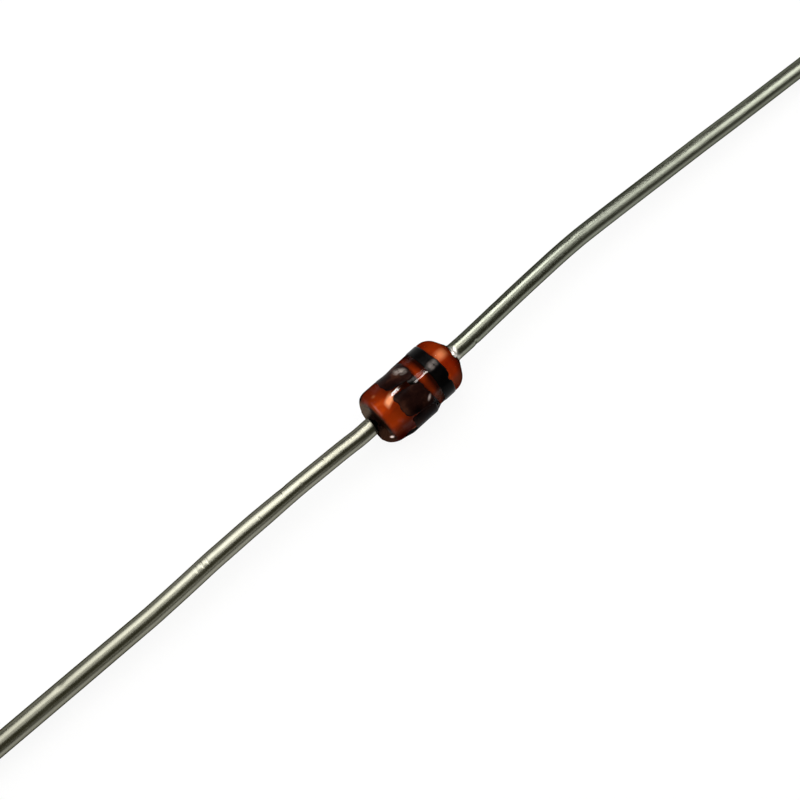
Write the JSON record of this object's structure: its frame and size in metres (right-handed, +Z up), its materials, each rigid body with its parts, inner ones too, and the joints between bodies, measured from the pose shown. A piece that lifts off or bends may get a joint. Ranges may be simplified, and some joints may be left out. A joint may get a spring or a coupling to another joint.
{
  "type": "zener diode",
  "caption": "Small axial zener diode: a clear glass sleeve over copper-red studs, a black cathode band and long tinned wire leads.",
  "frame": {"origin": "on the resting surface, below the middle of the glass body", "axes": "+X along the axis of the body towards the cathode band, +Z up from the resting surface, +Y to the left of +X"},
  "size_m": [0.0552, 0.0028, 0.0016],
  "materials": {
    "glass": "clear fire-polished sealing glass",
    "stud_oxide": "copper-clad stud with a red oxide skin, seen through the glass",
    "silicon": "diced silicon, dark grey",
    "silver": "plated silver, satin",
    "tinned_wire": "bright tin plate with fine drawing lines",
    "ink": "black baked marking ink"
  },
  "bodies": {
    "root": {"glass_envelope": "glass", "anode_stud": "stud_oxide", "cathode_stud": "stud_oxide", "silicon_die": "silicon", "contact_bump": "silver", "anode_lead": "tinned_wire", "cathode_lead": "tinned_wire", "cathode_band": "ink"}
  },
  "joints": []
}
